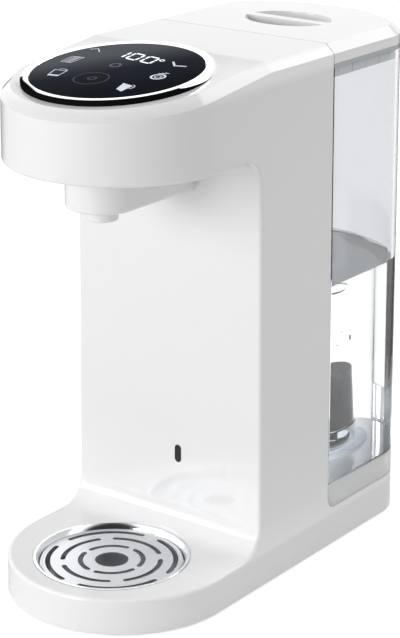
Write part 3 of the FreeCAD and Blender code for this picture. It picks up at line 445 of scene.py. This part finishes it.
class DISPENSER_OT_housing(bpy.types.Operator):
    """Finish the gloss housing, the cover, the spout, the base and what is behind them"""
    bl_idname = "dispenser.housing"
    bl_label = "Housing"

    def execute(self, context):
        s = context.scene.dispenser_housing
        # the housing's white carries painted light and shade by height
        white = gloss_plastic("housing_white", tuple(s.white), s.roughness, HOUSING_PAINTED_SHADE)
        dress(white, "base_housing", "column_housing", "head_housing", "top_cover", "spout_housing")
        dress(self.lid(s), "tank_lid")
        inner = satin_plastic("inner_white", tinted(s.white, 0.96), 0.42)
        dress(inner, "tank_seat", "lid_collar", "nozzle", "base_plate")
        dress(self.glowing_panel_behind_tank(s), "rear_panel")
        dress(rubber("foot_rubber", (0.03, 0.03, 0.033)), "rubber_feet")
        grey = satin_plastic("grey_moulding", (0.45, 0.46, 0.48))
        dress(grey, "display_frame", "heater_caps", "pump_volute", "pump_impeller",
              "pump_bracket", "cord_gland")
        dress(brushed_metal("screw_steel", (0.55, 0.55, 0.57), 0.35), "frame_screws", "base_screws",
              "panel_screws", "board_screws", "heater_tube", "heater_clamps", "pump_motor")
        dress(satin_plastic("circuit_board", (0.01, 0.09, 0.035)), "display_board", "sensor_board",
              "power_board")
        dress(satin_plastic("board_black", (0.02, 0.02, 0.022)), "board_parts", "display_module",
              "thermostats", "temperature_probe")
        dress(gloss_plastic("sensor_tint", (0.012, 0.012, 0.014), 0.12), "sensor_window")
        dress(rubber("hose_silicone", (0.75, 0.78, 0.8), 0.4), "inlet_hose", "pump_hose", "outlet_hose")
        return {"FINISHED"}

    def glowing_panel_behind_tank(self, s):
        """White panel behind the tank, made to glow a little: painted light standing in for the light the
        clear tank takes away.
        """
        f = Finish("panel_white_glow")
        grain = f.noise(2600.0)
        f.feed(f.ramp(grain, [(0.3, tinted(s.white, 0.9)), (0.7, tinted(s.white, 0.96))]), "Base Color")
        # painted light: the panel glows
        f.feed(f.ramp(grain, [(0.3, (0.95, 0.96, 0.97)), (0.7, WHITE)]), "Emission Color")
        return f.set(ior=1.49, roughness=0.45, emission_strength=0.3).material

    def lid(self, s):
        """Gloss lid: grey at the foot of its side, painted shade down in its wells, a dark seam at its
        front.
        """
        f = Finish("lid_white")
        height = f.along(UP)
        apart = f.node("Mapping", f.place)
        apart.inputs["Location"].default_value = (0.0, -WELL_BACK / WELL_HALF[1], 0.0)
        apart.inputs["Scale"].default_value = (1.0 / MM / WELL_HALF[0], 1.0 / MM / WELL_HALF[1], 0.0)
        out = f.node("VectorMath", apart.outputs[0])
        out.operation = "LENGTH"
        inside = f.reach(out.outputs["Value"], 1.0, 0.97)
        # painted shade: the wells grow greyer towards their bottoms
        well_shade = f.ramp(f.reach(height, *WELL_SHADE_HEIGHTS), [(0.0, (0.66, 0.66, 0.67)), (1.0, WHITE)])
        plain = f.ramp(f.reach(height, *LID_EDGE), [(0.0, (0.45, 0.47, 0.50)), (1.0, tuple(s.white))])
        front = f.reach(f.along((0.0, 1.0, 0.0)), (TANK_FRONT + 0.25) * MM, (TANK_FRONT + 0.45) * MM)
        seam = f.ramp(front, [(0.0, (0.42, 0.43, 0.44)), (1.0, WHITE)])
        f.feed(f.multiply(f.multiply(plain, well_shade, inside), seam), "Base Color")
        return f.moulded_gloss(s.roughness).set(ior=1.49).material


class DISPENSER_OT_panel(bpy.types.Operator):
    """Finish the round touch panel and its polished ring"""
    bl_idname = "dispenser.panel"
    bl_label = "Touch panel"

    def execute(self, context):
        s = context.scene.dispenser_panel
        dress(self.glass(s), "panel_glass")
        dress(self.ring(), "panel_bezel")
        self.digits(s)
        self.icons(s)
        self.guides(s)
        return {"FINISHED"}

    def glass(self, s):
        """Dark glass, with a painted pale reflection towards its far left edge."""
        f = Finish("panel_glass")
        # painted reflection: the glass turns paler towards its far left
        across = f.reach(f.along(GLASS_REFLECTION_WAY, PANEL_CENTRE), -GLASS_REFLECTION_REACH, GLASS_REFLECTION_REACH)
        f.feed(f.ramp(across, [(0.03, (0.0010, 0.0030, 0.0075)), (0.14, (0.0025, 0.0050, 0.0100)),
                               (0.30, tinted(s.glass, 0.6)), (0.50, tuple(s.glass)),
                               (0.68, (0.050, 0.056, 0.067)), (0.84, (0.105, 0.115, 0.130)),
                               (0.94, (0.115, 0.125, 0.142))]), "Base Color")
        f.feed(f.between(f.noise(30.0), 0.03, 0.07), "Roughness")
        return f.set(ior=1.05, specular_ior_level=0.08).material

    def ring(self):
        """Chrome on the ring's crown and its far and right wall; painted black for dark reflection and
        shade on its near wall and left tip.
        """
        f = Finish("ring_chrome_painted_dark")
        lift = f.along((0.0, -math.sin(PANEL_TILT), math.cos(PANEL_TILT)), PANEL_CENTRE)
        right = f.reach(f.along(RIGHT_REAR, PANEL_CENTRE), *RING_RIGHT)
        lift = f.maths("ADD", lift, f.between(right, 0.0, RING_DROP))
        rear = f.reach(f.along(LEFT_REAR, PANEL_CENTRE), *RING_REAR)
        tip = f.reach(f.along(RING_TIP_WAY, PANEL_CENTRE), *RING_TIP, 1.0, 0.0)
        # painted dark reflection and shade where this is 0, chrome where it is 1
        face = f.maths("MULTIPLY", f.maths("MAXIMUM", f.reach(lift, *RING_CROWN), rear), tip)
        f.feed(f.ramp(face, [(0.0, (0.006, 0.006, 0.007)), (1.0, (0.95, 0.955, 0.965))]), "Base Color")
        f.feed(face, "Metallic")
        f.feed(face, "Specular IOR Level")
        f.feed(f.between(f.noise(260.0), 0.025, 0.045), "Roughness")
        return f.set(ior=1.2).material

    def lit(self, name, colour, strength, shine=0.5):
        """Printed mark with a weak light behind it, a little uneven."""
        f = Finish(name)
        glow = f.noise(220.0, 2.0)
        f.mottle(glow, colour, 0.75, (0.2, 0.7)).mottle(glow, colour, 0.7, (0.2, 0.7), "Emission Color")
        return f.set(roughness=0.3, specular_ior_level=shine, emission_strength=strength).material

    def mark(self, name, marks, material):
        finished(name, marks.bm, material, "machine", False)

    def digits(self, s):
        """The figure 100 and its degree sign, in a row that falls a little to the right."""
        m = Marks(-0.12)
        for x, y, bars in ((-19.6, 17.6, "bc"), (-9.0, 17.6, "abcdef"), (2.0, 17.6, "abcdef")):
            m.digit(x, y, 7.2, 9.6, bars, 1.5)
        m.arc(12.6, 25.4, 1.3, 1.3, 0.8)
        self.mark("display_digits", m, self.lit("digits_light", tuple(s.light), 0.62))

    def icons(self, s):
        """The symbols of the touch keys, each at its place on the panel."""
        m = Marks()
        # arrows that lower and raise the setting
        m.stroke([(19.8, 24.6), (24.8, 19.2), (31.8, 20.8)], 1.3)
        m.stroke([(-38.6, 23.4), (-34.6, 26.2), (-30.2, 21.6)], 0.7)
        # beaker filled to its rim, with its handle
        m.patch([(20.6, -26.6), (25.6, -28.6), (25.8, -18.6), (17.8, -16.8)])
        m.arc(25.7, -20.4, 1.8, 3.0, 0.6, -80, 180, 10)
        # beaker outline with its handle
        m.stroke([(-32.4, -14.4), (-29.8, -23.8), (-23.6, -22.8), (-24.6, -13.6)], 0.6, True)
        m.arc(-27.6, -13.4, 3.0, 2.0, 0.55, 0, 180, -10)
        m.patch([(-29.6, -23.4), (-23.9, -22.5), (-24.0, -20.9), (-29.9, -21.9)])
        # dial with its ticks
        m.arc(28.4, -0.2, 3.9, 3.9, 1.3)
        m.arc(28.6, -0.4, 1.9, 1.9, 0.7)
        for k in range(3):
            m.stroke([(25.0 + k * 1.5, 4.6 + k * 1.1), (28.2 + k * 1.3, 4.9 + k * 0.9)], 0.7)
        # bottle with its ribs
        for k in range(5):
            m.stroke([(-38.0, 0.2 + 2.0 * k), (-33.2, 0.6 + 2.0 * k)], 0.8)
        m.stroke([(-38.9, -1.6), (-32.4, -1.0), (-31.6, 9.8), (-39.2, 8.6)], 0.45, True)
        self.mark("touch_icons", m, self.lit("icons_light", tinted(s.light, 0.62), 0.36))

    def guides(self, s):
        """The two faint rings of the keys that aren't lit."""
        m = Marks()
        m.arc(-6.2, 6.2, 2.9, 2.9, 1.3)
        self.mark("lock_ring", m, self.lit("lock_light", tinted(s.light, 0.12), 0.03, 0.02))
        m = Marks()
        m.arc(-3.8, -17.8, 9.8, 9.8, 0.9)
        m.arc(-3.4, -17.6, 2.2, 2.2, 1.4)
        self.mark("key_ring", m, self.lit("key_light", tinted(s.light, 0.014), 0.003, 0.02))


class DISPENSER_OT_tray(bpy.types.Operator):
    """Finish the drip cup and the slotted grille"""
    bl_idname = "dispenser.tray"
    bl_label = "Drip tray"

    def execute(self, context):
        dress(self.cup(), "drip_cup")
        dress(brushed_metal("grille_steel", (0.66, 0.675, 0.695), 0.3), "drip_grille")
        return {"FINISHED"}

    def cup(self):
        """Polished rim, and the dull inside of the cup that the slots show, darkened with painted shade
        under the grille.
        """
        f = Finish("cup_steel")
        rim = f.reach(f.along(UP), *CUP_RIM)
        # painted shade: the inside below the rim is darker
        f.feed(f.ramp(rim, [(0.0, (0.44, 0.45, 0.47)), (1.0, (0.74, 0.75, 0.78))]), "Base Color")
        return f.feed(f.between(rim, 0.5, 0.15), "Roughness").set(metallic=1.0).material


class DISPENSER_OT_tank(bpy.types.Operator):
    """Finish the clear tank, its valve, filter and seals"""
    bl_idname = "dispenser.tank"
    bl_label = "Tank"

    def execute(self, context):
        s = context.scene.dispenser_tank
        self.tank_plastic(s)
        self.water(s)
        dress(clear_plastic("filter_clear", (0.96, 0.965, 0.97), 1.2), "filter_case")
        dress(clear_plastic("filter_frost", (0.86, 0.88, 0.90), 1.16), "filter_base")
        dress(gloss_plastic("valve_plastic", (0.7, 0.71, 0.73), 0.2), "valve_body", "valve_poppet")
        dress(rubber("clear_silicone", (0.6, 0.63, 0.67), 0.35), "valve_seal", "poppet_seal",
              "filter_seal")
        dress(rubber("gasket_silicone", (0.92, 0.95, 0.98), 0.35), "lid_gasket")
        dress(brushed_metal("spring_steel", (0.6, 0.6, 0.62), 0.25), "valve_spring")
        dress(self.carbon(), "filter_media")
        return {"FINISHED"}

    def carbon(self):
        """Packed granules, paler towards the top with painted light."""
        f = Finish("filter_carbon")
        # painted light: darker at the bottom, paler at the top
        tone = f.ramp(f.reach(f.along(UP), *CARBON_LIGHT_HEIGHTS),
                      [(0.0, (0.07, 0.08, 0.10)), (0.75, (0.13, 0.15, 0.18)), (1.0, (0.26, 0.28, 0.31))])
        grains = f.ramp(f.noise(160.0, 4.0, 0.6), [(0.3, (0.55, 0.55, 0.56)), (0.7, WHITE)])
        return f.feed(f.multiply(tone, grains), "Base Color").set(roughness=0.6).material

    def tank_plastic(self, s):
        """Clear plastic, greyer above the water with painted shade, and a painted glow and shade in floor
        and skirt.
        """
        f = Finish("tank_clear")
        height = f.along(UP)
        f.feed(f.between(f.noise(30.0, 2.0), 0.005, 0.02), "Roughness")
        # painted shade: the wall above the water is greyer than below it
        dry = f.reach(height, s.water_height - MM, s.water_height + MM)
        plain = f.ramp(dry, [(0.0, (0.99, 0.993, 0.996)), (1.0, tuple(s.clear))])
        wall = f.reach(height, (TANK_FLOOR + 0.1) * MM, (TANK_FLOOR + 0.2) * MM)
        sheet = f.reach(height, (TANK_FLOOR - 0.6) * MM, (TANK_FLOOR - 0.4) * MM)
        low = f.maths("MULTIPLY", f.between(wall, 1.0, 0.0), sheet)
        # painted light and shade: floor and skirt glow, darkening towards the right rear
        floor_glow_and_shade = f.ramp(f.reach(f.along(RIGHT_REAR), 0.0, 0.13),
                      [(0.0, (0.90, 0.93, 0.96)), (0.5, (0.84, 0.88, 0.92)),
                       (0.75, (0.30, 0.34, 0.38)), (0.95, (0.05, 0.06, 0.08))])
        f.feed(f.multiply(plain, floor_glow_and_shade, low), "Base Color")
        f.feed(f.multiply(floor_glow_and_shade, low), "Emission Color")
        f.feed(f.between(wall, 0.45, 1.0), "Transmission Weight")
        dress(f.set(ior=1.47, emission_strength=0.24).material, "tank_body")

    def water(self, s):
        """Water up to its level, with the small rise where it meets the wall, and painted shade on its
        surface.
        """
        level = s.water_height / MM
        bm = bmesh.new()
        lap = TANK_WALL - WATER_LAP
        low = TANK_FLOOR - WATER_LAP
        rings = [tank_outline(lap, low + (level - low) * k / 4) for k in range(4)]
        rings += [tank_outline(lap + inset, level + rise) for inset, rise in WATER_RISE]
        made = loft(bm, rings)
        bm.faces.new(list(reversed(made[0])))
        bm.faces.new(made[-1])
        above = set(v for ring in made[-len(WATER_RISE):] for v in ring)
        for face in bm.faces:
            if all(v in above for v in face.verts):
                face.material_index = 1
        body = Finish("water_clear")
        body.feed(body.between(body.noise(20.0), 0.0, 0.004), "Roughness")
        body.set(base_color=(0.985, 0.993, 1.0), ior=1.33, transmission_weight=1.0)
        piece = finished("water", bm, body.material, "tank")
        top = Finish("water_surface")
        top.feed(top.between(top.noise(20.0), 0.0, 0.01), "Roughness")
        # painted shade: the surface is tinted grey
        top.feed(top.ramp(top.noise(14.0, 2.0), [(0.3, (0.35, 0.365, 0.38)), (0.7, (0.41, 0.425, 0.44))]),
                 "Base Color")
        top.set(ior=1.33, transmission_weight=1.0)
        piece.data.materials.append(top.material)


def lamp(name, energy, size, place):
    data = bpy.data.lights.new(name, "AREA")
    data.energy = energy
    data.shape = "RECTANGLE"
    data.size, data.size_y = size
    obj = bpy.data.objects.new(name, data)
    obj.location = place
    obj.rotation_euler = (Vector(LAMP_TARGET) - Vector(place)).to_track_quat("-Z", "Y").to_euler()
    bpy.context.scene.collection.objects.link(obj)


class DISPENSER_OT_stage(bpy.types.Operator):
    """Set the floor, the pale studio, the lamps and the camera"""
    bl_idname = "dispenser.stage"
    bl_label = "Studio"

    def execute(self, context):
        scene = context.scene
        scene.view_settings.view_transform = "Standard"
        self.floor()
        self.world(scene)
        for name, (energy, size, place) in LAMPS.items():
            lamp(name, energy, size, place)
        self.camera(scene)
        return {"FINISHED"}

    def floor(self):
        """White floor that keeps shadows; reflections find it dark at the rear, clear pieces bright."""
        bm = bmesh.new()
        bmesh.ops.create_circle(bm, cap_ends=True, radius=FLOOR_RADIUS, segments=64)
        mesh = bpy.data.meshes.new("floor")
        bm.to_mesh(mesh)
        bm.free()
        floor = bpy.data.objects.new("floor", mesh)
        floor.location.z = -FLOOR_DROP
        bpy.context.scene.collection.objects.link(floor)
        f = Finish("floor_white").set(roughness=0.9, base_color=(0.93, 0.93, 0.93), specular_ior_level=0.0)

        def glow(strength):
            return f.node("Emission", Strength=strength).outputs[0]

        path = f.node("LightPath").outputs
        lift = f.maths("MULTIPLY", path["Is Camera Ray"], FLOOR_LIFT)
        seen = f.node("AddShader", f.shader.outputs[0], glow(lift)).outputs[0]
        dark = path["Is Glossy Ray"]
        for way, start, end in FLOOR_DARK:
            dark = f.maths("MULTIPLY", dark, f.reach(f.along(way), start, end))
        seen = f.node("MixShader", dark, seen, glow(FLOOR_DARK_LEVEL)).outputs[0]
        seen = f.node("MixShader", path["Is Transmission Ray"], seen, glow(BEHIND_CLEAR)).outputs[0]
        f.links.new(seen, f.output.inputs["Surface"])
        mesh.materials.append(f.material)

    def world(self, scene):
        """Soft room light, brighter from the front, with a dark zone for reflections."""
        scene.world = bpy.data.worlds.new("studio")
        w = Tree(scene.world)
        way = w.node("TexCoord").outputs["Generated"]
        path = w.node("LightPath").outputs
        room = w.maths("ADD", w.vectors("DOT_PRODUCT", way, ROOM_SLOPE), ROOM_LEVEL, True)
        zone = w.reach(w.vectors("DOT_PRODUCT", way, DARK_WAY), *DARK_ZONE, "SMOOTHSTEP")
        strength = w.choose(path["Is Glossy Ray"], room, w.maths("MULTIPLY", zone, GLOSS_LEVEL))
        strength = w.choose(path["Is Transmission Ray"], strength, BEHIND_CLEAR)
        strength = w.choose(path["Is Camera Ray"], strength, 1.0)
        back = w.node("Background", Color=(*WHITE, 1.0), Strength=strength)
        w.node("OutputWorld", back.outputs[0])

    def camera(self, scene):
        turn, tilt, roll = CAMERA_ANGLES
        right = Vector((math.cos(turn), math.sin(turn), 0.0))
        back = Vector((math.sin(turn) * math.cos(tilt), -math.cos(turn) * math.cos(tilt), math.sin(tilt)))
        up = back.cross(right)
        c, s = math.cos(roll), math.sin(roll)
        right, up = right * c + up * s, up * c - right * s
        data = bpy.data.cameras.new("camera")
        data.sensor_width = SENSOR
        data.lens = FOCAL_PIXELS / PICTURE_PIXELS * SENSOR
        data.clip_start, data.clip_end = 0.05, 30.0
        camera = bpy.data.objects.new("camera", data)
        camera.matrix_world = Matrix([*zip(right, up, back, CAMERA_PLACE), (0.0, 0.0, 0.0, 1.0)])
        scene.collection.objects.link(camera)
        scene.camera = camera


OPERATORS = (DISPENSER_OT_stage, DISPENSER_OT_housing, DISPENSER_OT_panel, DISPENSER_OT_tray,
             DISPENSER_OT_tank)
SETTINGS = (("dispenser_housing", HousingSettings), ("dispenser_panel", PanelSettings),
            ("dispenser_tank", TankSettings))


class DISPENSER_PT_sidebar(bpy.types.Panel):
    """Sizes, colours and the pieces of the dispenser"""
    bl_label = "Bottle Water Dispenser"
    bl_idname = "DISPENSER_PT_sidebar"
    bl_space_type = "VIEW_3D"
    bl_region_type = "UI"
    bl_category = "Dispenser"

    def draw(self, context):
        for key, group in SETTINGS:
            column = self.layout.column(align=True)
            for name in group.__annotations__:
                column.prop(getattr(context.scene, key), name)
        for operator in OPERATORS:
            self.layout.operator(operator.bl_idname)


CLASSES = tuple(group for _, group in SETTINGS) + OPERATORS + (DISPENSER_PT_sidebar,)


def register():
    for cls in CLASSES:
        bpy.utils.register_class(cls)
    for key, group in SETTINGS:
        setattr(bpy.types.Scene, key, PointerProperty(type=group))


def unregister():
    for key, _ in SETTINGS:
        delattr(bpy.types.Scene, key)
    for cls in reversed(CLASSES):
        bpy.utils.unregister_class(cls)


def main():
    register()
    for operator in OPERATORS:
        family, name = operator.bl_idname.split(".")
        getattr(getattr(bpy.ops, family), name)()


if __name__ == "__main__":
    main()
